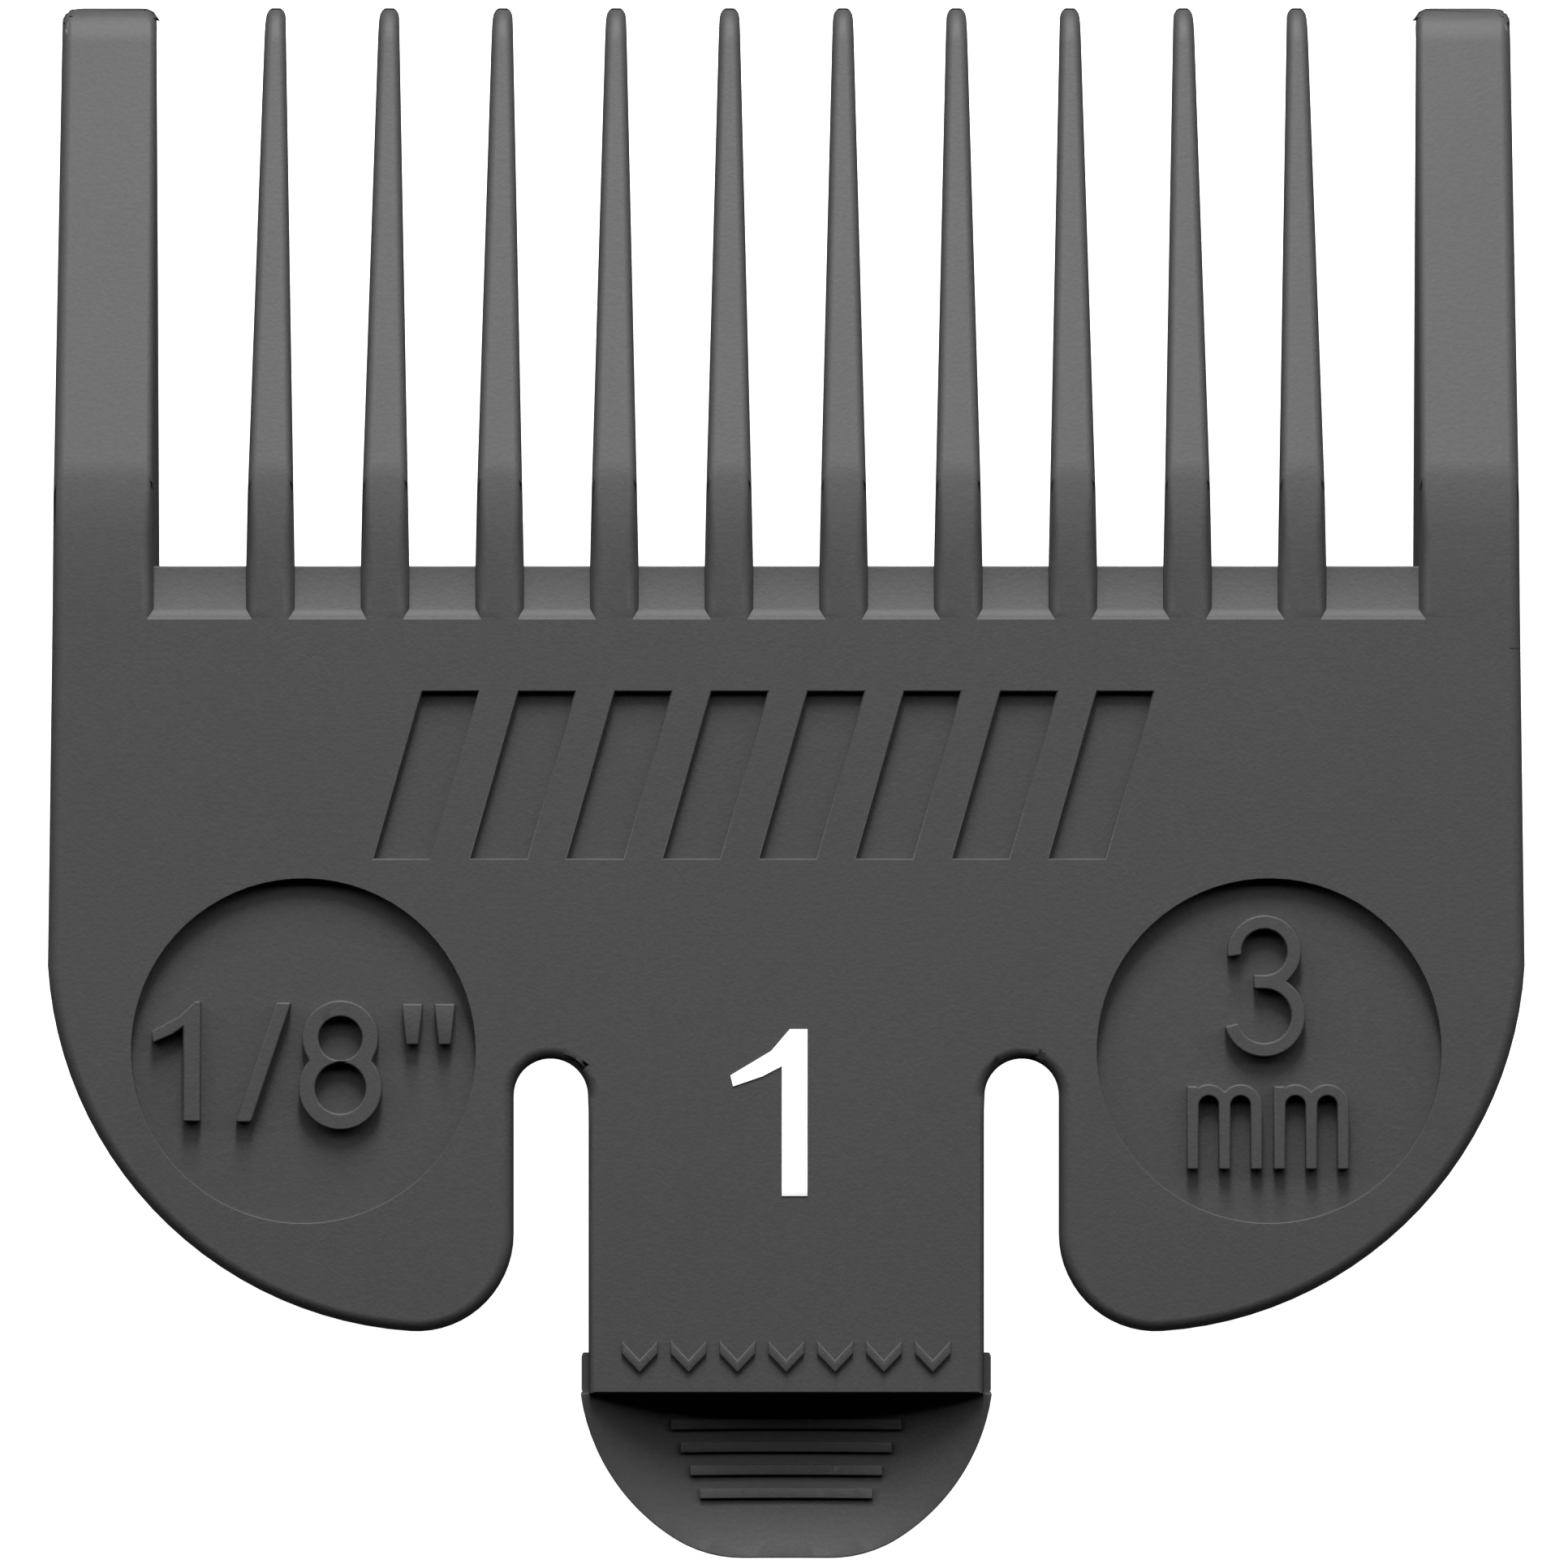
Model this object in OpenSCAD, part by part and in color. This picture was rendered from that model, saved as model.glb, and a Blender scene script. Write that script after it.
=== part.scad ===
// Clip-on guard comb for a hair clipper, 3 mm cutting length.
// It lies on its side rails, numbered face up: +Z up, +Y to the tooth tips, +X to the right.
// The origin is the middle of the outline, on the plane that the rails stand on.

/* [Overall size] */
// Width over the two side rails
body_w = 46; // [45:0.5:48]
// Height of the numbered face above the resting plane
body_h = 9.5; // [9.5:0.1:10.5]
// Thickness of the face plate
plate_t = 1.4; // [1.2:0.1:1.6]
// Height of the plane that the blade lies against
seat_h = 5; // [4.6:0.1:5]
// Distance of the tooth tips in front of the middle
tip_y = 24.4; // [24:0.02:25]
// Front end of the face plate, where the tooth bar begins
plate_front_y = 4.2; // [3.8:0.1:4.6]

/* [Teeth] */
// Number of thin teeth between the two end teeth
tooth_count = 10; // [8:1:12]
// Inner side of each end tooth at its root, from the centre line
end_inner_x = 19.69; // [19.5:0.01:19.8]
// Outer side of each end tooth at its tip, from the centre line
end_tip_x = 22.77; // [22.5:0.01:22.8]
// Width of a thin tooth at its root
tooth_root_w = 1.54; // [1.4:0.01:1.7]
// Width of a thin tooth at its tip
tooth_tip_w = 0.66; // [0.5:0.01:0.9]
// Top of the front bar's slope
bar_top_y = 5.12; // [5:0.02:5.2]
// Thin front edge of the bar between the teeth
bar_edge_y = 6.76; // [6.6:0.02:6.9]
// Step from the face down to the bar's slope
bar_step = 0.35; // [0.2:0.05:0.5]
// Width of the steep band that makes this step
bar_band = 0.32; // [0.1:0.02:0.4]
// Back end of each tooth's root in the bar
root_y = 4.6; // [4.5:0.05:4.8]
// Drop of the bar's slope
bar_drop = 0.14; // [0.1:0.02:0.4]
// End of the level part of a tooth
level_end_y = 7.7; // [7.5:0.1:7.9]
// End of the short, gently sloped facet
facet_end_y = 9.47; // [9.3:0.01:9.6]
// Drop of the gently sloped facet
facet_drop = 0.18; // [0.1:0.02:0.3]
// Height of the outer edge of the teeth just behind the tips
tip_top_h = 5.3; // [5.1:0.1:5.6]
// Back ends of the ribs that the teeth form under the plate
rib_end_y = -3; // [-4:0.5:0]
// Front stop for the blade's toe
toe_y = 14.75; // [14.5:0.05:15]

/* [Side rails and lobes] */
// Inner face of each rail, from the centre line
rail_inner_x = 21.2; // [21:0.1:21.4]
// Narrowing of each side per mm toward the tips
side_taper = 0.0132; // [0.008:0.0001:0.016]
// Radius of the lobes' outer arc
lobe_r = 12.12; // [12:0.02:12.2]
// Centre of the lobes' outer arc
lobe_cy = -4.98; // [-5.1:0.02:-4.9]
// Corner between a straight side and a lobe's arc
corner_y = -5.7; // [-5.8:0.1:-5.6]
// Radius of the lobes' corners beside the slots
lobe_corner_r = 3; // [2.8:0.05:3.2]

/* [Release tongue] */
// Half the width of the tongue
tongue_hw = 6.175; // [6:0.005:6.3]
// Width of the slot on each side of the tongue
slot_w = 2.33; // [2:0.01:2.4]
// Centre of the slots' round front ends
slot_end_y = -9.75; // [-9.9:0.05:-9.6]
// Back end of the part of the tongue that bends
flexure_end_y = -13.2; // [-13.4:0.1:-13]
// Front face of the catch wall
wall_front_y = -17.85; // [-17.9:0.05:-17.8]
// Back end of the tongue and of the catch wall
step_y = -19; // [-19.1:0.05:-18.9]
// Half the width of the catch wall's top flange
wall_hw = 6.39; // [6.3:0.01:6.5]
// Half the width of the catch wall under its flange
web_hw = 5.95; // [5.6:0.05:6.1]
// Bottom of the flange
flange_h = 6.2; // [5.8:0.1:6.6]
// Bottom of the catch wall
catch_base_h = 1; // [0.8:0.1:1.2]
// Top of the nose that holds the blade's heel
catch_top_h = 1.8; // [1.7:0.1:2]
// Reach of the nose under the heel
catch_reach = 0.85; // [0.6:0.05:1]

/* [Thumb dish] */
// Radius of the dish's outline
dish_r = 6.46; // [6.4:0.01:6.6]
// Centre of the dish's outline
dish_cy = -18.16; // [-18.3:0.01:-18]
// Flat back end of the dish
dish_back_y = -24.22; // [-24.5:0.02:-24.1]
// Radius of the two corners at the back of the dish
dish_corner_r = 4; // [3:0.2:4.4]
// Radius of the dish's hollow
hollow_r = 10.7; // [10:0.1:14]
// Lowest point of the hollow along Y
hollow_cy = -20.8; // [-21.2:0.1:-20]
// Height of the lowest point of the hollow
hollow_h = 7.1; // [6.9:0.05:7.3]
// Thickness of the dish's shell
dish_t = 1.25; // [1.1:0.05:1.3]

/* [Markings] */
// Radius of the two round recesses
recess_r = 5.36; // [5.2:0.02:5.4]
// Depth of the two round recesses
recess_d = 0.55; // [0.4:0.05:0.6]
// Distance of the recesses from the centre line
recess_x = 15.03; // [14.9:0.01:15.1]
// Position of the recesses along Y
recess_y = -8.34; // [-8.4:0.02:-8.3]
// Depth of the engraved hatch
hatch_d = 0.4; // [0.3:0.05:0.5]
// Number of bars in the engraved hatch
hatch_count = 8; // [6:1:9]
// Height of the raised chevrons on the tongue
chevron_h = 0.15; // [0.1:0.05:0.2]
// Height of the grip ribs in the dish
rib_h = 0.2; // [0.15:0.05:0.4]
// Thickness of the printed number
ink_t = 0.04; // [0.03:0.01:0.06]

/* [Hidden] */
$fn = 96;
over = 1;
charcoal = [0.20, 0.20, 0.205];
ink_white = [0.93, 0.93, 0.92];

plate_z = body_h - plate_t;
pitch = 2 * (end_inner_x - 0.055) / (tooth_count + 1);
slot_out_x = tongue_hw + slot_w;
lobe_cx = body_w / 2 - sqrt(pow(lobe_r, 2) - pow(corner_y - lobe_cy, 2));
lobe_corner_x = slot_out_x + lobe_corner_r;
lobe_corner_y = lobe_cy - sqrt(pow(lobe_r - lobe_corner_r, 2) - pow(lobe_corner_x - lobe_cx, 2));
lobe_meet_a = asin((lobe_corner_x - lobe_cx) / (lobe_r - lobe_corner_r));
lobe_meet_x = lobe_cx + lobe_r * sin(lobe_meet_a);
lobe_meet_y = lobe_cy - lobe_r * cos(lobe_meet_a);
lobe_end_y = lobe_cy - lobe_r;
rail_r = rail_inner_x - lobe_cx;
ledge_r = end_inner_x - lobe_cx;
tip_round = 1.1;
nose_long = 2;
nose_tall = 1.2;
nose_a = 64;
nose_y = tip_y - nose_long * (1 - cos(nose_a));
nose_mid_h = outer_h(nose_y) - nose_tall * sin(nose_a);
tooth_low_h = 2.5;
tooth_low_y = toe_y + 0.35;
hook_end_y = toe_y + 2.15;
hook_base_h = 0.9;
hook_top_h = 1.75;
hook_reach = 1;
hook_inner_x = end_inner_x + 0.35;
nose_inner_h = 3.2;
dish_corner_y = dish_back_y + dish_corner_r;
dish_corner_x = sqrt(pow(dish_r - dish_corner_r, 2) - pow(dish_corner_y - dish_cy, 2));
dish_meet_x = dish_corner_x * dish_r / (dish_r - dish_corner_r);
dish_meet_y = dish_cy + (dish_corner_y - dish_cy) * dish_r / (dish_r - dish_corner_r);
hatch_w = 1.75;
hatch_low_y = -2.35;
hatch_high_y = 2.85;
hatch_lean = 1.5;
hatch_pitch = 24 / hatch_count;
chevron_count = 7;
chevron_pitch = 1.52;
chevron_y = -17.85;
chevron_hw = 0.56;
chevron_rise = 0.6;
chevron_w = 0.42;
grip_count = 4;
grip_pitch = 0.72;
grip_w = 0.32;
grip_y = -20.2;
grip_hw = 3.6;

function tooth_name(i) = str("tooth_", i < 10 ? "0" : "", i);
function tooth_x(i) = (i - (tooth_count + 1) / 2) * pitch;
function side_x(y) = body_w / 2 - side_taper * (y - corner_y);
function tooth_hw(y) =
    let (t = (y - bar_edge_y) / (tip_y - bar_edge_y))
    (tooth_root_w + (tooth_tip_w - tooth_root_w) * max(0, t)) / 2;
function nose(low_h) = concat(
    [for (b = [80:-16:0]) [tip_y - tip_round * (1 - cos(b)), nose_mid_h - (nose_mid_h - low_h) * sin(b)]],
    [for (b = [8:8:56]) [tip_y - nose_long * (1 - cos(b)), nose_mid_h + nose_tall * sin(b)]]
);
function outer_h(y) =
    let (t = (y - facet_end_y) / (tip_y - tip_round - facet_end_y))
    body_h - facet_drop - t * (body_h - facet_drop - tip_top_h);

// A profile in the YZ plane, drawn as [y, z] points and pushed along +X.
module yz_prism(x0, x1) {
    translate([x0, 0, 0])
        rotate([90, 0, 90])
            linear_extrude(height = x1 - x0)
                children();
}

// One thin tooth, with the rib it forms under the plate.
module tooth(i) {
    x = tooth_x(i);
    color(charcoal)
    intersection() {
        yz_prism(x - tooth_root_w, x + tooth_root_w)
            tooth_profile();
        translate([x, 0, 0])
            linear_extrude(height = body_h)
                polygon([
                    [-tooth_hw(bar_edge_y), rib_end_y],
                    [tooth_hw(bar_edge_y), rib_end_y],
                    [tooth_hw(bar_edge_y), bar_edge_y],
                    [tooth_hw(tip_y), tip_y],
                    [-tooth_hw(tip_y), tip_y],
                    [-tooth_hw(bar_edge_y), bar_edge_y]
                ]);
    }
}

// Side view of a thin tooth: rib, level part, facet, long slope and rounded nose.
module tooth_profile() {
    polygon(concat(
        [
            [rib_end_y + plate_z - seat_h, seat_h],
            [toe_y, seat_h],
            [toe_y, tooth_low_h + 0.35],
            [tooth_low_y, tooth_low_h]
        ],
        nose(3.75),
        [
            [nose_y, outer_h(nose_y)],
            [facet_end_y, body_h - facet_drop],
            [level_end_y, body_h],
            [root_y, body_h],
            [root_y, plate_z],
            [rib_end_y, plate_z]
        ]
    ));
}

// Sloped bar that joins the tooth roots, with a notch for each tooth.
module tooth_bar() {
    color(charcoal)
    difference() {
        yz_prism(-end_inner_x, end_inner_x)
            polygon([
                [plate_front_y, plate_z],
                [bar_edge_y, plate_z],
                [bar_edge_y, body_h - bar_step - bar_drop],
                [bar_top_y + bar_band, body_h - bar_step],
                [bar_top_y, body_h],
                [plate_front_y, body_h]
            ]);
        for (i = [1:tooth_count])
            translate([tooth_x(i) - tooth_root_w / 2, root_y, plate_z - over])
                cube([tooth_root_w, bar_edge_y - root_y + over, plate_t + 2 * over]);
    }
}

// Plan of one wide end tooth on the +X side.
module end_tooth_plan() {
    round_x = 0.35;
    tip_inner_x = end_inner_x + 0.1;
    polygon([
        [end_inner_x, plate_front_y],
        [side_x(plate_front_y), plate_front_y],
        [side_x(level_end_y), level_end_y],
        [end_tip_x, tip_y - round_x],
        [end_tip_x - round_x / 3, tip_y - round_x / 3],
        [end_tip_x - round_x, tip_y],
        [tip_inner_x + round_x, tip_y],
        [tip_inner_x + round_x / 3, tip_y - round_x / 3],
        [tip_inner_x, tip_y - round_x]
    ]);
}

// Side view of an end tooth down to the resting plane.
module end_tooth_profile() {
    polygon(concat(
        [
            [plate_front_y, 0],
            [hook_end_y, 0]
        ],
        nose(3.6),
        [
            [nose_y, outer_h(nose_y)],
            [facet_end_y, body_h - facet_drop],
            [level_end_y, body_h],
            [plate_front_y, body_h]
        ]
    ));
}

module end_tooth() {
    color(charcoal)
    difference() {
        intersection() {
            yz_prism(end_inner_x, body_w / 2 + over)
                end_tooth_profile();
            linear_extrude(height = body_h)
                end_tooth_plan();
        }
        translate([end_inner_x - over, plate_front_y - over, -over])
            cube([rail_inner_x - end_inner_x + over, hook_end_y - plate_front_y + over, seat_h + over]);
        translate([end_inner_x - over, hook_end_y - over, -over])
            cube([hook_inner_x - end_inner_x + over, tip_y, nose_inner_h + over]);
    }
}

// Hook under the blade's front corner, in the angle of the end tooth.
module toe_hook() {
    color(charcoal)
    yz_prism(hook_inner_x, rail_inner_x)
        polygon([
            [toe_y - hook_reach, hook_base_h + 0.25],
            [toe_y - hook_reach + 0.25, hook_base_h],
            [hook_end_y, hook_base_h],
            [hook_end_y, seat_h],
            [toe_y, seat_h],
            [toe_y, hook_top_h],
            [toe_y - hook_reach, hook_top_h]
        ]);
}

// Straight rail beside the blade, with the ledge that the blade lies against.
module side_rail() {
    color(charcoal)
    difference() {
        linear_extrude(height = plate_z)
            polygon([
                [end_inner_x, corner_y],
                [side_x(corner_y), corner_y],
                [side_x(plate_front_y), plate_front_y],
                [end_inner_x, plate_front_y]
            ]);
        translate([end_inner_x - over, corner_y - over, -over])
            cube([rail_inner_x - end_inner_x + over, plate_front_y - corner_y + 2 * over, seat_h + over]);
    }
}

// Curved continuation of the rail round the blade's back corner.
module lobe_wall() {
    color(charcoal)
    intersection() {
        translate([lobe_cx, lobe_cy, 0])
            rotate([0, 0, -90 + lobe_meet_a])
                rotate_extrude(angle = 90 - lobe_meet_a)
                    polygon([
                        [rail_r, 0],
                        [lobe_r, 0],
                        [lobe_r, plate_z],
                        [ledge_r, plate_z],
                        [ledge_r, seat_h],
                        [rail_r, seat_h]
                    ]);
        translate([0, lobe_end_y - over, -over])
            cube([body_w, corner_y - lobe_end_y + over, body_h + over]);
    }
}

// Outline of the face plate before its lobes are rounded.
module square_plan() {
    below = lobe_end_y - over;
    half = [
        [slot_out_x, slot_end_y],
        [slot_out_x, below],
        [body_w / 2, below],
        [body_w / 2, corner_y],
        [side_x(plate_front_y), plate_front_y]
    ];
    polygon(concat(half, [for (k = [len(half) - 1:-1:0]) [-half[k][0], half[k][1]]]));
}

// Waste outside the two arcs of the +X lobe.
module lobe_cut() {
    low = lobe_end_y - 2 * over;
    difference() {
        translate([lobe_meet_x, low])
            square([lobe_r + over, corner_y - low]);
        translate([lobe_cx, lobe_cy])
            circle(r = lobe_r);
    }
    difference() {
        translate([slot_out_x - over, low])
            square([lobe_meet_x - slot_out_x + over, lobe_corner_y - low]);
        translate([lobe_corner_x, lobe_corner_y])
            circle(r = lobe_corner_r);
    }
    polygon([[lobe_meet_x, lobe_meet_y], [lobe_meet_x + over, low], [lobe_meet_x - over, low]]);
}

module face_plate() {
    color(charcoal)
    difference() {
        translate([0, 0, plate_z])
            linear_extrude(height = plate_t)
                difference() {
                    square_plan();
                    lobe_cut();
                    mirror([1, 0]) lobe_cut();
                    for (s = [-1, 1])
                        translate([s * (tongue_hw + slot_w / 2), slot_end_y])
                            circle(d = slot_w);
                }
        for (s = [-1, 1])
            translate([s * recess_x, recess_y, body_h - recess_d])
                cylinder(r = recess_r, h = recess_d + over);
        translate([0, 0, body_h - hatch_d])
            linear_extrude(height = hatch_d + over)
                hatch_plan();
    }
}

// Row of leaning bars, a plain decoration.
module hatch_plan() {
    for (i = [0:hatch_count - 1])
        translate([(i - (hatch_count - 1) / 2) * hatch_pitch - 0.7, 0])
            polygon([
                [-hatch_w / 2 - hatch_lean / 2, hatch_low_y],
                [hatch_w / 2 - hatch_lean / 2, hatch_low_y],
                [hatch_w / 2 + hatch_lean / 2, hatch_high_y],
                [-hatch_w / 2 + hatch_lean / 2, hatch_high_y]
            ]);
}

// Part of a flat ring of middle radius r, from angle a0 to angle a1.
module arc_stroke(r, w, a0, a1) {
    steps = 6;
    step = (a1 - a0) / steps;
    intersection() {
        difference() {
            circle(r = r + w / 2);
            circle(r = r - w / 2);
        }
        polygon(concat(
            [[0, 0]],
            [for (k = [0:steps]) 2 * (r + w) * [cos(a0 + k * step), sin(a0 + k * step)]]
        ));
    }
}

// Figures 1/8 with two inch ticks, raised in the left recess.
module inch_figures() {
    color(charcoal)
    translate([0, 0, body_h - recess_d])
        linear_extrude(height = recess_d) {
            polygon([
                [-18.23, -10.54], [-18.23, -6.79], [-18.42, -6.79], [-18.9, -7.25],
                [-19.77, -7.72], [-19.72, -8.1], [-19.1, -7.83], [-18.78, -7.6], [-18.78, -10.54]
            ]);
            polygon([[-17.15, -10.56], [-16.65, -10.56], [-15.41, -6.83], [-15.88, -6.83]]);
            difference() {
                union() {
                    translate([-13.88, -7.95]) circle(r = 1.19);
                    translate([-13.88, -9.5]) circle(r = 1.3);
                }
                translate([-13.88, -7.95]) circle(r = 0.68);
                translate([-13.88, -9.5]) circle(r = 0.79);
            }
            for (x = [-11.97, -10.96])
                polygon([[x + 0.14, -8.15], [x + 0.52, -8.15], [x + 0.66, -6.87], [x, -6.87]]);
        }
}

// Figure 3 over the letters mm, raised in the right recess.
module metric_figures() {
    color(charcoal)
    translate([0, 0, body_h - recess_d])
        linear_extrude(height = recess_d) {
            translate([14.88, -5.26]) arc_stroke(0.93, 0.44, 188, -90);
            translate([14.88, -7.25]) arc_stroke(1.06, 0.44, 90, -165);
            translate([14.55, -6.41]) square([0.4, 0.44]);
            for (x = [12.47, 15.17])
                translate([x, 0]) letter_m();
        }
}

module letter_m() {
    stem = 0.37;
    gap = 0.62;
    for (k = [0:2])
        translate([k * (stem + gap), -12.03])
            square([stem, 2.02]);
    translate([0, -10.05])
        square([stem, 0.62]);
    for (k = [0, 1])
        translate([stem + gap / 2 + k * (stem + gap), -10.05])
            arc_stroke(gap / 2 + stem / 2, stem, 0, 180);
}

// Part of the tongue that bends, between the round ends of the slots.
module tongue_flexure() {
    color(charcoal)
    translate([-tongue_hw, flexure_end_y, plate_z])
        cube([2 * tongue_hw, slot_end_y - flexure_end_y, plate_t]);
}

// Printed figure 1 across the root of the tongue.
module size_number() {
    color(ink_white)
    translate([0, 0, body_h])
        linear_extrude(height = ink_t)
            polygon([
                [0.66, -12.86], [0.66, -7.66], [0.11, -7.66], [-0.47, -8.34], [-1.74, -9.1],
                [-1.66, -9.45], [-0.73, -9.13], [-0.14, -8.82], [-0.14, -12.86]
            ]);
}

module release_tongue() {
    color(charcoal)
    translate([-tongue_hw, step_y, plate_z])
        cube([2 * tongue_hw, flexure_end_y - step_y, plate_t]);
}

// Wall from the tongue down behind the blade's heel.
module catch_wall() {
    color(charcoal)
    union() {
        translate([-wall_hw, step_y, flange_h])
            cube([2 * wall_hw, wall_front_y - step_y, plate_z - flange_h]);
        translate([-web_hw, step_y, catch_base_h])
            cube([2 * web_hw, wall_front_y - step_y, flange_h - catch_base_h]);
    }
}

// Nose that hooks under the blade's heel.
module blade_catch() {
    nose_hw = 5;
    color(charcoal)
    yz_prism(-nose_hw, nose_hw)
        polygon([
            [wall_front_y, catch_base_h],
            [wall_front_y + catch_reach * 0.4, catch_base_h],
            [wall_front_y + catch_reach, catch_base_h + 0.45],
            [wall_front_y + catch_reach, catch_top_h],
            [wall_front_y, catch_top_h]
        ]);
}

// Outline of the dish: one arc, flattened at the back with two rounded corners.
module dish_plan() {
    difference() {
        intersection() {
            translate([0, dish_cy])
                circle(r = dish_r);
            translate([-dish_r, dish_back_y])
                square([2 * dish_r, step_y - dish_back_y]);
        }
        dish_cut();
        mirror([1, 0]) dish_cut();
    }
}

// Waste outside the dish's +X back corner.
module dish_cut() {
    difference() {
        translate([dish_corner_x, dish_back_y - over])
            square([dish_meet_x - dish_corner_x, dish_meet_y - dish_back_y + over]);
        translate([dish_corner_x, dish_corner_y])
            circle(r = dish_corner_r);
    }
}

module hollow_ball(r) {
    translate([0, hollow_cy, hollow_h + hollow_r])
        sphere(r = r);
}

// Hollowed tab behind the catch wall that the thumb lifts.
module thumb_dish() {
    color(charcoal)
    difference() {
        intersection() {
            linear_extrude(height = body_h)
                dish_plan();
            hollow_ball(hollow_r + dish_t);
        }
        hollow_ball(hollow_r);
    }
}

// Raised chevrons at the end of the tongue that point to the tab.
module tongue_chevrons() {
    color(charcoal)
    translate([0, 0, body_h])
        linear_extrude(height = chevron_h)
            for (i = [0:chevron_count - 1])
                translate([(i - (chevron_count - 1) / 2) * chevron_pitch, chevron_y])
                    chevron_plan();
}

module chevron_plan() {
    low = -(chevron_rise + chevron_w) / 2;
    polygon([
        [-chevron_hw, low + chevron_rise + chevron_w],
        [0, low + chevron_w],
        [chevron_hw, low + chevron_rise + chevron_w],
        [chevron_hw, low + chevron_rise],
        [0, low],
        [-chevron_hw, low + chevron_rise]
    ]);
}

// Low grip ribs that follow the hollow of the dish.
module dish_ribs() {
    color(charcoal)
    difference() {
        intersection() {
            translate([0, 0, hollow_h - over])
                linear_extrude(height = body_h - hollow_h)
                    for (i = [0:grip_count - 1])
                        translate([-grip_hw + 0.3 * i, grip_y - i * grip_pitch])
                            square([2 * (grip_hw - 0.3 * i), grip_w]);
            hollow_ball(hollow_r);
        }
        hollow_ball(hollow_r - rib_h);
    }
}

face_plate();
tooth_bar();
for (i = [1:tooth_count])
    tooth(i);
mirror([1, 0, 0]) end_tooth();  // left_end_tooth
end_tooth();  // right_end_tooth
mirror([1, 0, 0]) side_rail();  // left_side_rail
side_rail();  // right_side_rail
mirror([1, 0, 0]) lobe_wall();  // left_lobe_wall
lobe_wall();  // right_lobe_wall
mirror([1, 0, 0]) toe_hook();  // left_toe_hook
toe_hook();  // right_toe_hook
inch_figures();
metric_figures();
tongue_flexure();
size_number();
release_tongue();
catch_wall();
blade_catch();
thumb_dish();
tongue_chevrons();
dish_ribs();
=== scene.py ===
import math

import bmesh
import bpy
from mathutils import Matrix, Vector
from mathutils.bvhtree import BVHTree


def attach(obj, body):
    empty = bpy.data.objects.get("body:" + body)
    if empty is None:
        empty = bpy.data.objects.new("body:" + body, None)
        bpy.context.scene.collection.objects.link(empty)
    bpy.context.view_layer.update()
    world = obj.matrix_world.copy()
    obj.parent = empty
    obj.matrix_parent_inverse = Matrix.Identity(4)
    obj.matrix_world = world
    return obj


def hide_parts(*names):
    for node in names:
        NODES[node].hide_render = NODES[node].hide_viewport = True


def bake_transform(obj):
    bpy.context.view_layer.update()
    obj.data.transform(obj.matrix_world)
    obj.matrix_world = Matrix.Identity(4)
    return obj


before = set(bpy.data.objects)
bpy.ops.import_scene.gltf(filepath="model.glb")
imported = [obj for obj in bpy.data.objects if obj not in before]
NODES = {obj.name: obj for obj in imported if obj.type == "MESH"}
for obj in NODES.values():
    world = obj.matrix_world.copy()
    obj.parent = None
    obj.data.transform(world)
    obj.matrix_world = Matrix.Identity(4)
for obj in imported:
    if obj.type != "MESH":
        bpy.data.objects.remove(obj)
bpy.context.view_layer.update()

MM = 0.001  # lengths below are in mm unless they say otherwise, and the scene is in metres

# Places on the comb: X across it, Y towards the tips, Z up to the face.
FACE_Z = 9.5
SEAT_Z = 5.0  # where the clipper's blade rests
PLATE_LOW_Z, PLATE_THICK = 8.1, 1.4
RECESS_X, RECESS_Y, RECESS_R = 15.03, -8.34, 5.36  # a round recess, and its twin at -X
BARS_LOW_Y, BARS_HIGH_Y, BARS_HALF = -2.6, 3.1, 14  # band of engraved bars

# Teeth: level at the face, then a shallow facet, then a slope down to the rounded tip.
TOOTH_COUNT = 10
TEETH = ["tooth_%02d" % (i + 1) for i in range(TOOTH_COUNT)]
PITCH = 3.57  # between the middles of two thin teeth
ROOT_HALF = 0.77  # half of a thin tooth's width at its root
END_INNER_X = 19.69  # inner side of an end tooth
END_MIDDLE_X = 21
FACET_START_Y, FACET_END_Y = 7.7, 9.47
FACET_DROP = 0.18
TIP_Y, TIP_TOP_Z, TIP_BACK = 24.4, 5.3, 1.1
TOOTH_LEAN, LEAN_DEPTH = 0.035, 5.0  # mm in for each mm down, as far as this depth
END_LEAN = 0.05  # mm in for each mm under the seat

# Bar at the roots: its top edge steps down over a steep band.
BAR_TOP_Y = 5.12
BAND_END_Y, BAND_END_Z = 5.44, 9.15
ROOT_INSET, SIDE_INSET = 0.2, 0.13  # lean of a tooth's sides beside the bar, and just past it

# Sprung tongue.
TONGUE_START_Y, FLEX_END_Y = -9.75, -13.2
TONGUE_LEAN, LEAN_RUN = 0.05, 1.0
CUT_STEP = 0.3  # between the cross lines that let a piece bend
FLEX_CUTS, NUMBER_CUTS = 11, 10
NUMBER_CUT_Y = -12.6  # first cross line of the printed number

# How the solids' corners are rounded.
WELD = 0.002
FLAT = math.radians(0.6)  # faces that meet at less than this become one
TOUCH = 0.012  # solids nearer than this touch
SHARP = math.radians(24)  # a corner sharper than this is rounded
SMOOTH = math.radians(30)  # shading runs smoothly over a corner flatter than this
LENGTHWISE = 0.9  # an edge runs along Y when its direction has more than this share of it
TOP_ZONE = 0.6  # an end tooth's edges this near under its outer face belong to its top

# Widths that edges are rounded to.
OUTLINE_ROUND = 0.38
UNDER_FACE_ROUND = 0.1
RECESS_ROUND = 0.03
BARS_ROUND = 0.05
TOOTH_ROUND = 0.27
END_OUTER_ROUND, END_INNER_ROUND, END_ACROSS_ROUND = 0.36, 0.26, 0.3
END_LOW_OUTER_ROUND, END_LOW_INNER_ROUND = 0.2, 0.06
TONGUE_LONG_ROUND, TONGUE_ACROSS_ROUND = 0.17, 0.06

# ---------------------------------------------------------------- materials


def grey(value):
    return (value, value, value, 1)


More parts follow.
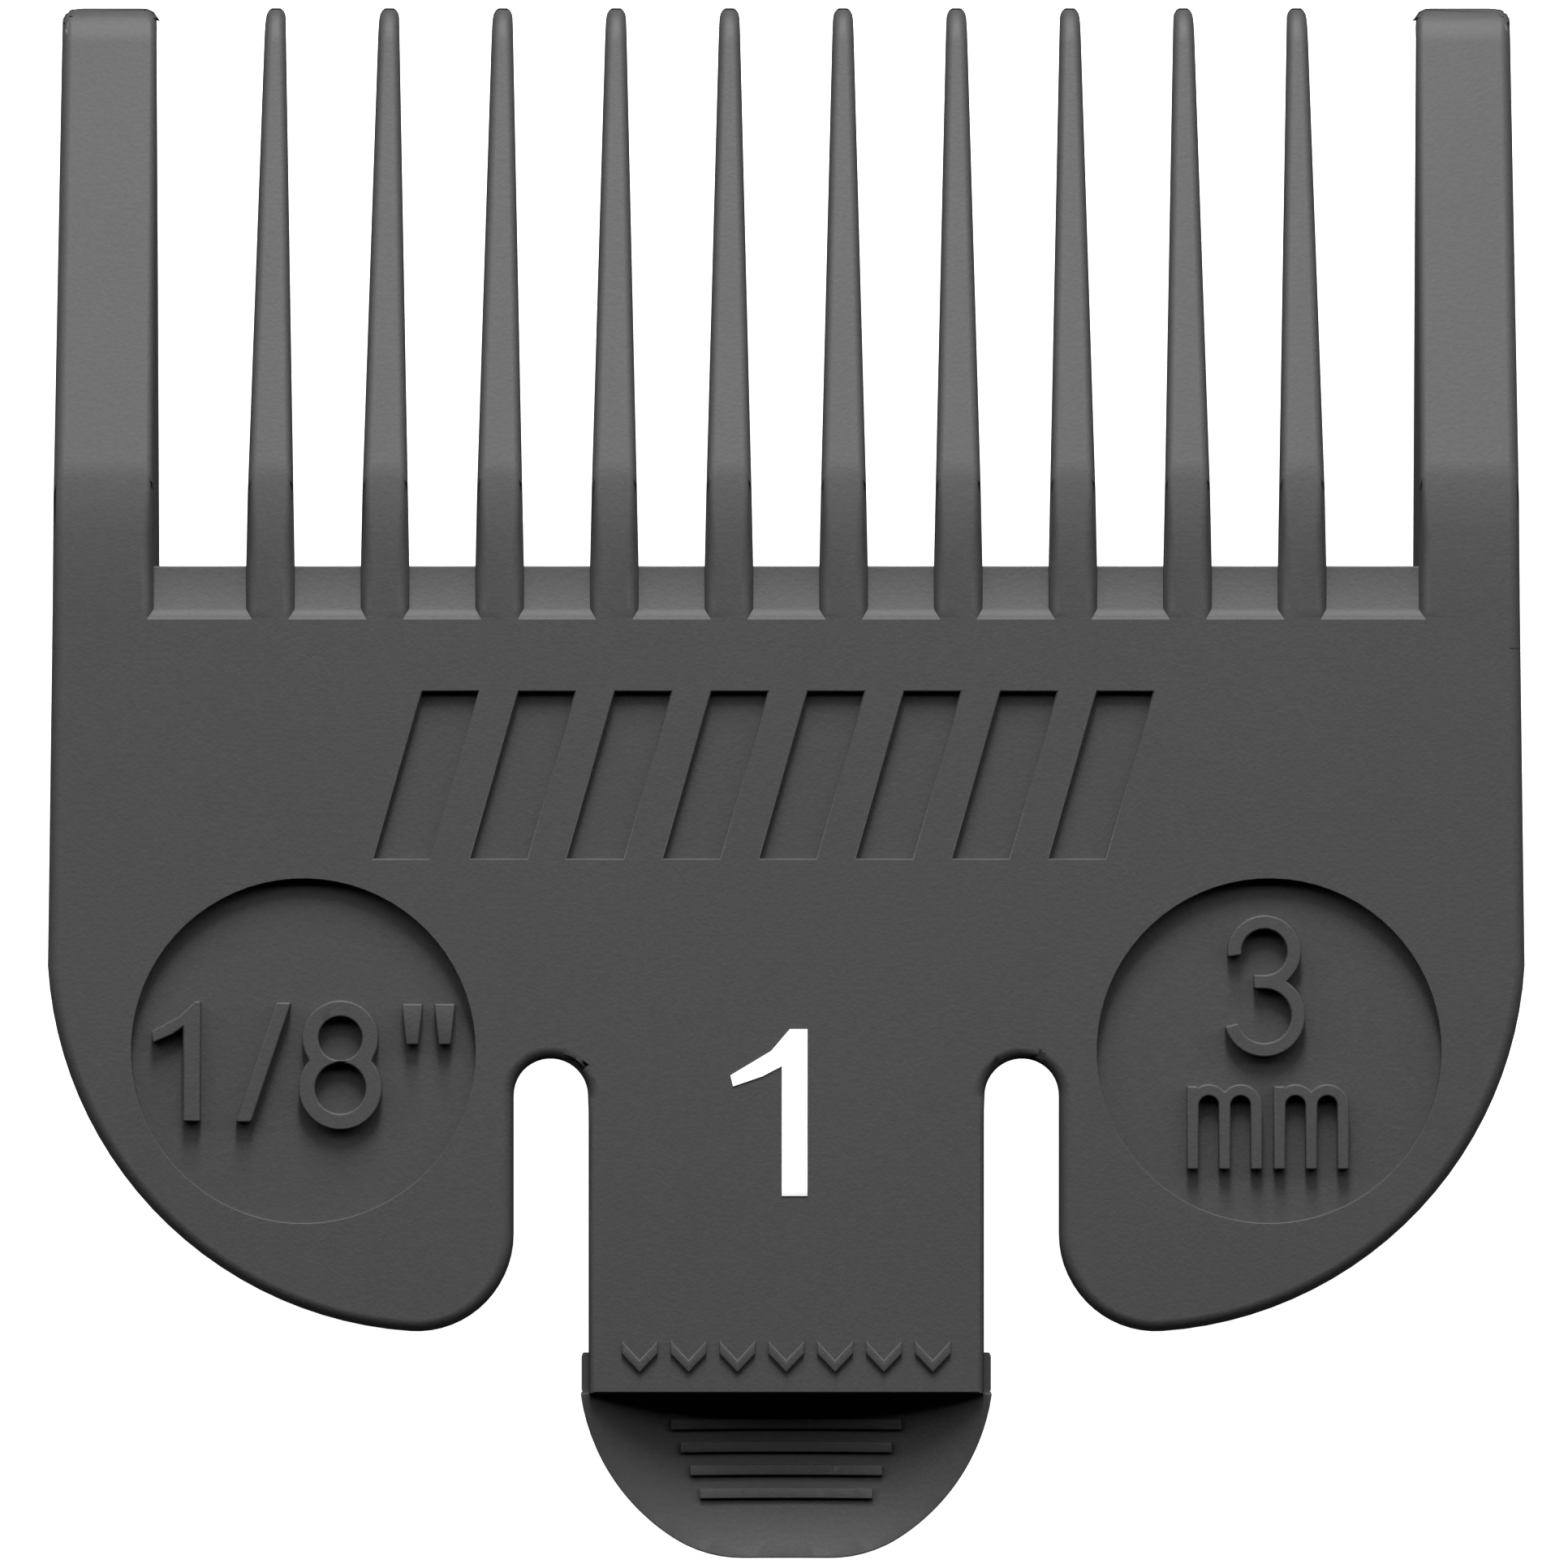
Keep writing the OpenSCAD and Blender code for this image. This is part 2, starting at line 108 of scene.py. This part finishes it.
def new_material(name):
    mat = bpy.data.materials.new(name)
    mat.use_nodes = True
    tree = mat.node_tree
    tree.nodes.clear()
    out = tree.nodes.new("ShaderNodeOutputMaterial")
    return mat, tree, out


def principled(tree, out):
    shader = tree.nodes.new("ShaderNodeBsdfPrincipled")
    tree.links.new(shader.outputs["BSDF"], out.inputs["Surface"])
    return shader


def noise(tree, scale, detail, rough=0.5):
    """Noise in the shared frame, so that the pattern runs on from piece to piece. Scale is per metre."""
    coord = tree.nodes.new("ShaderNodeTexCoord")
    tex = tree.nodes.new("ShaderNodeTexNoise")
    tex.inputs["Scale"].default_value = scale
    tex.inputs["Detail"].default_value = detail
    tex.inputs["Roughness"].default_value = rough
    tree.links.new(coord.outputs["Object"], tex.inputs["Vector"])
    return tex.outputs["Fac"]


def ramp(tree, factor, low, high, first, last):
    """Run from the first value to the last while the factor goes from low to high."""
    node = tree.nodes.new("ShaderNodeValToRGB")
    node.color_ramp.elements[0].position = low
    node.color_ramp.elements[0].color = grey(first)
    node.color_ramp.elements[1].position = high
    node.color_ramp.elements[1].color = grey(last)
    tree.links.new(factor, node.inputs["Fac"])
    return node.outputs["Color"]


def multiply(tree, a, b):
    mix = tree.nodes.new("ShaderNodeMix")
    mix.data_type = "RGBA"
    mix.blend_type = "MULTIPLY"
    mix.inputs["Factor"].default_value = 1.0
    tree.links.new(a, mix.inputs["A"])
    tree.links.new(b, mix.inputs["B"])
    return mix.outputs["Result"]


def grain(tree, shader, height, strength, distance):
    """Bump the surface by height, over a distance in metres."""
    bump = tree.nodes.new("ShaderNodeBump")
    bump.inputs["Strength"].default_value = strength
    bump.inputs["Distance"].default_value = distance
    tree.links.new(height, bump.inputs["Height"])
    tree.links.new(bump.outputs["Normal"], shader.inputs["Normal"])


def nylon_material():
    """Charcoal nylon: fine spark-eroded grain, and small changes of tone and gloss."""
    mat, tree, out = new_material("charcoal_nylon")
    shader = principled(tree, out)
    tone = ramp(tree, noise(tree, scale=140, detail=4), low=0.3, high=0.7, first=0.0325, last=0.0345)
    speck = ramp(tree, noise(tree, scale=5200, detail=2), low=0.35, high=0.72, first=0.93, last=1.07)
    tree.links.new(multiply(tree, tone, speck), shader.inputs["Base Color"])
    rough = ramp(tree, noise(tree, scale=260, detail=5), low=0.3, high=0.75, first=0.63, last=0.615)
    tree.links.new(rough, shader.inputs["Roughness"])
    height = noise(tree, scale=8000, detail=3, rough=0.6)
    grain(tree, shader, height, strength=0.16, distance=0.00006)
    shader.inputs["IOR"].default_value = 1.5
    return mat


def ink_material():
    """White pad-printed ink with faint pinholes."""
    mat, tree, out = new_material("white_ink")
    shader = principled(tree, out)
    tone = ramp(tree, noise(tree, scale=2400, detail=3), low=0.25, high=0.5, first=0.88, last=0.95)
    tree.links.new(tone, shader.inputs["Base Color"])
    rough = ramp(tree, noise(tree, scale=1500, detail=3), low=0.3, high=0.7, first=0.42, last=0.5)
    tree.links.new(rough, shader.inputs["Roughness"])
    grain(tree, shader, noise(tree, scale=6000, detail=2), strength=0.1, distance=0.00002)
    return mat


def floor_material():
    """Pale floor: white to the camera, and a dull grey that sends little light back to the comb."""
    mat, tree, out = new_material("pale_floor")
    lit = tree.nodes.new("ShaderNodeBsdfDiffuse")
    lit.inputs["Color"].default_value = grey(0.9)
    glow = tree.nodes.new("ShaderNodeEmission")
    glow.inputs["Strength"].default_value = 1.0
    seen = tree.nodes.new("ShaderNodeAddShader")
    tree.links.new(lit.outputs["BSDF"], seen.inputs[0])
    tree.links.new(glow.outputs["Emission"], seen.inputs[1])
    dull = tree.nodes.new("ShaderNodeBsdfDiffuse")
    dull.inputs["Color"].default_value = grey(0.15)
    path = tree.nodes.new("ShaderNodeLightPath")
    pick = tree.nodes.new("ShaderNodeMixShader")
    tree.links.new(path.outputs["Is Camera Ray"], pick.inputs["Fac"])
    tree.links.new(dull.outputs["BSDF"], pick.inputs[1])
    tree.links.new(seen.outputs["Shader"], pick.inputs[2])
    tree.links.new(pick.outputs["Shader"], out.inputs["Surface"])
    return mat


NYLON = nylon_material()
INK = ink_material()

# ------------------------------------------------------ pieces from the solids

TREES = {}  # for each solid, what finds its nearest point
for node_name, node in NODES.items():
    shape = bmesh.new()
    shape.from_mesh(node.data)
    TREES[node_name] = BVHTree.FromBMesh(shape)
    shape.free()


def touches_other(point, own):
    """Whether a point of one solid lies against another one. The ink is too thin to count."""
    return any(
        tree.find_nearest(point, TOUCH * MM)[0] is not None
        for name, tree in TREES.items()
        if name != own and name != "size_number"
    )


def cleaned(name):
    """A welded copy of a CAD solid, with each flat area as a single face."""
    bm = bmesh.new()
    bm.from_mesh(NODES[name].data)
    bmesh.ops.remove_doubles(bm, verts=bm.verts, dist=WELD * MM)
    bmesh.ops.dissolve_limit(bm, angle_limit=FLAT, verts=bm.verts, edges=bm.edges, delimit=set())
    return bm


def mark_round_edges(bm, name, width_of):
    """Weight each free, sharp, convex edge by the width it is rounded to. Returns the largest width."""
    layer = bm.edges.layers.float.new("bevel_weight_edge")
    widths = []
    for edge in bm.edges:
        if len(edge.link_faces) != 2 or not edge.is_convex or edge.calc_face_angle(0) < SHARP:
            continue
        middle = (edge.verts[0].co + edge.verts[1].co) / 2
        if touches_other(middle, name):
            continue
        along = (edge.verts[1].co - edge.verts[0].co).normalized()
        widths.append((edge, width_of(middle / MM, along)))
    top = max([w for _, w in widths] + [0.01])
    for edge, width in widths:
        edge[layer] = width / top
    return top


def apply_modifiers(obj, lo, hi):
    """Bake the rounding, kept inside the solid's own box."""
    deps = bpy.context.evaluated_depsgraph_get()
    baked = bpy.data.meshes.new_from_object(obj.evaluated_get(deps))
    for vert in baked.vertices:
        vert.co = [min(max(c, a), b) for c, a, b in zip(vert.co, lo, hi)]
    old = obj.data
    obj.modifiers.clear()
    obj.data = baked
    bpy.data.meshes.remove(old)


def split(bm, point, normal):
    """Add the line where a plane crosses the piece."""
    bmesh.ops.bisect_plane(
        bm, geom=bm.verts[:] + bm.edges[:] + bm.faces[:], plane_co=Vector(point) * MM, plane_no=normal
    )


def piece(name, width_of, body, shape=None, cuts=(), level=0, material=NYLON, segments=4, bend=False):
    """A copy of a CAD node with rounded free edges, attached to its body, or, with bend, left unattached in
    the shared frame.

    shape moves its points. cuts are places along Y, and level a height, where it gets a line across.
    """
    bm = cleaned(name)
    for y in cuts:
        split(bm, (0, y, 0), (0, 1, 0))
    if level:
        split(bm, (0, 0, level), (0, 0, 1))
    top = mark_round_edges(bm, name, width_of)
    if shape:
        for vert in bm.verts:
            vert.co = Vector(shape(*(vert.co / MM))) * MM
    lo = [min(vert.co[k] for vert in bm.verts) for k in range(3)]
    hi = [max(vert.co[k] for vert in bm.verts) for k in range(3)]
    for face in bm.faces:
        face.smooth = True
        face.material_index = 0
    mesh = bpy.data.meshes.new(name + "_look")
    bm.to_mesh(mesh)
    bm.free()
    mesh.materials.append(material)
    obj = bpy.data.objects.new(name + "_look", mesh)
    bpy.context.scene.collection.objects.link(obj)
    bevel = obj.modifiers.new("round_edges", "BEVEL")
    bevel.limit_method = "WEIGHT"
    bevel.width = top * MM
    bevel.segments = segments
    bevel.use_clamp_overlap = False
    apply_modifiers(obj, lo, hi)
    obj.data.set_sharp_from_angle(angle=SMOOTH)
    normals = obj.modifiers.new("flat_faces", "WEIGHTED_NORMAL")
    normals.keep_sharp = True
    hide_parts(name)
    if bend:
        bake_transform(obj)
    else:
        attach(obj, body)


def even(width):
    """The same width for every edge."""
    return lambda p, along: width


def plate_width(p, along):
    """Broad at the outline and the slots, fine at the recesses and the engraved bars."""
    if p.z < FACE_Z - 0.2:
        return UNDER_FACE_ROUND
    if abs(math.hypot(abs(p.x) - RECESS_X, p.y - RECESS_Y) - RECESS_R) < 0.1:
        return RECESS_ROUND
    if BARS_LOW_Y < p.y < BARS_HIGH_Y and abs(p.x) < BARS_HALF:
        return BARS_ROUND
    return OUTLINE_ROUND


def top_height(y):
    """Height of the outer face of the teeth at y."""
    end = TIP_Y - TIP_BACK
    if y < FACET_START_Y:
        return FACE_Z
    if y < FACET_END_Y:
        return FACE_Z - FACET_DROP * (y - FACET_START_Y) / (FACET_END_Y - FACET_START_Y)
    start = FACE_Z - FACET_DROP
    return start - (start - TIP_TOP_Z) * (y - FACET_END_Y) / (end - FACET_END_Y)


def root_inset(y, depth):
    """How far the top of a tooth's side leans in beside the bar, at y and depth under the face."""
    if y < BAR_TOP_Y + 0.01:
        inset = ROOT_INSET
    else:
        inset = SIDE_INSET * min(1, max(0, (FACET_END_Y - y) / (FACET_END_Y - FACET_START_Y)))
    return inset * max(0, 1 - depth / (FACE_Z - BAND_END_Z))


def tooth_width(p, along):
    """No rounding where a tooth's top runs into the face."""
    return 0 if p.z > FACE_Z - 0.05 and p.y < BAND_END_Y else TOOTH_ROUND


def thin_tooth(middle_x):
    """Thin teeth narrow slightly from their outer face inward, and lean at the root."""

    def shape(x, y, z):
        depth = max(0.0, top_height(y) - z)
        side = 0 if abs(x - middle_x) < 0.01 else math.copysign(1, x - middle_x)
        return x - side * (TOOTH_LEAN * min(LEAN_DEPTH, depth) + root_inset(y, depth)), y, z

    return shape


def end_tooth_shape(x, y, z):
    """The inner side leans beside the bar, and below the seat."""
    if abs(abs(x) - END_INNER_X) > 0.15:
        return x, y, z
    lean = END_LEAN * max(0.0, SEAT_Z - z)
    return x + math.copysign(lean + root_inset(y, max(0.0, top_height(y) - z)), x), y, z


def bar_shape(x, y, z):
    """The bar's notches run in under the leaning sides of the teeth."""
    if abs(x) > END_INNER_X - 0.1:
        return x + math.copysign(ROOT_INSET, x), y, z
    middle = (round(x / PITCH - 0.5) + 0.5) * PITCH
    if abs(abs(x - middle) - ROOT_HALF) < 0.02:
        return x - math.copysign(ROOT_INSET, x - middle), y, z
    return x, y, z


def end_tooth_width(p, along):
    """Broadest along the outer side of the top."""
    high = p.z > top_height(p.y) - TOP_ZONE
    if high and abs(along.y) > LENGTHWISE:
        if p.y < BAND_END_Y and abs(p.x) < END_MIDDLE_X:
            return 0
        return END_OUTER_ROUND if abs(p.x) > END_MIDDLE_X else END_INNER_ROUND
    if high:
        return END_ACROSS_ROUND
    return END_LOW_INNER_ROUND if abs(p.x) < END_MIDDLE_X - 0.5 else END_LOW_OUTER_ROUND


def tongue_shape(x, y, z):
    """The tongue's sides lean a little, so that they show from above."""
    lean = TONGUE_LEAN * min(1, max(0, (TONGUE_START_Y - y) / LEAN_RUN)) * (z - PLATE_LOW_Z) / PLATE_THICK
    return x - math.copysign(lean, x), y, z


def tongue_width(p, along):
    """Broader along the tongue than across it."""
    return TONGUE_LONG_ROUND if abs(along.y) > LENGTHWISE else TONGUE_ACROSS_ROUND


ROOT_CUTS = (BAR_TOP_Y, BAND_END_Y)
piece("face_plate", plate_width, "comb")
piece("tooth_bar", even(0.05), "comb", shape=bar_shape)
for index, tooth in enumerate(TEETH):
    middle = (index - (TOOTH_COUNT - 1) / 2) * PITCH
    piece(tooth, tooth_width, "comb", shape=thin_tooth(middle), cuts=ROOT_CUTS, level=BAND_END_Z)
for side in ("left", "right"):
    piece(
        side + "_end_tooth", end_tooth_width, "comb", shape=end_tooth_shape, cuts=ROOT_CUTS, level=BAND_END_Z
    )
    piece(side + "_side_rail", even(0.2), "comb")
    piece(side + "_lobe_wall", even(0.2), "comb")
    piece(side + "_toe_hook", even(0.12), "comb")
piece("inch_figures", even(0.06), "comb")
piece("metric_figures", even(0.06), "comb")

flex_cuts = [TONGUE_START_Y - CUT_STEP * (k + 1) for k in range(FLEX_CUTS)]
number_cuts = [NUMBER_CUT_Y + CUT_STEP * k for k in range(NUMBER_CUTS)]
piece("tongue_flexure", tongue_width, "", shape=tongue_shape, cuts=flex_cuts, bend=True)
piece("size_number", even(0.012), "", cuts=number_cuts, material=INK, segments=2, bend=True)
piece("release_tongue", tongue_width, "latch", shape=tongue_shape)
piece("catch_wall", even(0.06), "latch")
piece("blade_catch", even(0.1), "latch")
piece("thumb_dish", even(0.05), "latch")
piece("tongue_chevrons", even(0.05), "latch")
piece("dish_ribs", even(0.03), "latch")

# ------------------------------------------------------------ floor and light

HALF_FLOOR = 3.0  # metres
floor_mesh = bpy.data.meshes.new("floor")
floor_mesh.from_pydata(
    [(x * HALF_FLOOR, y * HALF_FLOOR, 0) for x, y in ((-1, -1), (1, -1), (1, 1), (-1, 1))],
    [],
    [(0, 1, 2, 3)],
)
floor_mesh.materials.append(floor_material())
floor = bpy.data.objects.new("floor", floor_mesh)
bpy.context.scene.collection.objects.link(floor)

# Distances and sizes of lights are in metres.
LIGHT_DISTANCE = 0.36
POWER = 1.97  # watts of the low light; the strip light has STRIP_SHARE times as much
STRIP_SHARE = 2.45
ROOM_GREY, ROOM_STRENGTH = 0.9, 0.008


def softbox(name, tilt, size, power):
    """Rectangular light over the +Y side, tilt degrees off the vertical, aimed at the comb."""
    a = math.radians(tilt)
    data = bpy.data.lights.new(name, "AREA")
    data.shape = "RECTANGLE"
    data.size, data.size_y = size
    data.energy = power
    obj = bpy.data.objects.new(name, data)
    obj.location = (0, LIGHT_DISTANCE * math.sin(a), LIGHT_DISTANCE * math.cos(a))
    obj.rotation_euler = (-a, 0, 0)
    bpy.context.scene.collection.objects.link(obj)


softbox("strip_light", tilt=40, size=(2.32, 0.277), power=STRIP_SHARE * POWER)
softbox("low_light", tilt=60, size=(0.064, 0.185), power=POWER)

world = bpy.data.worlds.new("studio")
world.use_nodes = True
world.node_tree.nodes["Background"].inputs["Color"].default_value = grey(ROOM_GREY)
world.node_tree.nodes["Background"].inputs["Strength"].default_value = ROOM_STRENGTH
bpy.context.scene.world = world

# ---------------------------------------------------------------------- camera

CAMERA_PLACE = (-0.00007, -0.00003, 0.4465)  # metres; it looks straight down
SENSOR, LENS = 36, 322.4

cam_data = bpy.data.cameras.new("photo_camera")
cam_data.sensor_width = SENSOR
cam_data.lens = LENS
cam_data.clip_start = 0.01
cam_data.clip_end = 20
cam = bpy.data.objects.new("photo_camera", cam_data)
cam.location = CAMERA_PLACE
bpy.context.scene.collection.objects.link(cam)
bpy.context.scene.camera = cam
bpy.context.scene.view_settings.view_transform = "Standard"
bpy.context.scene.view_settings.look = "None"
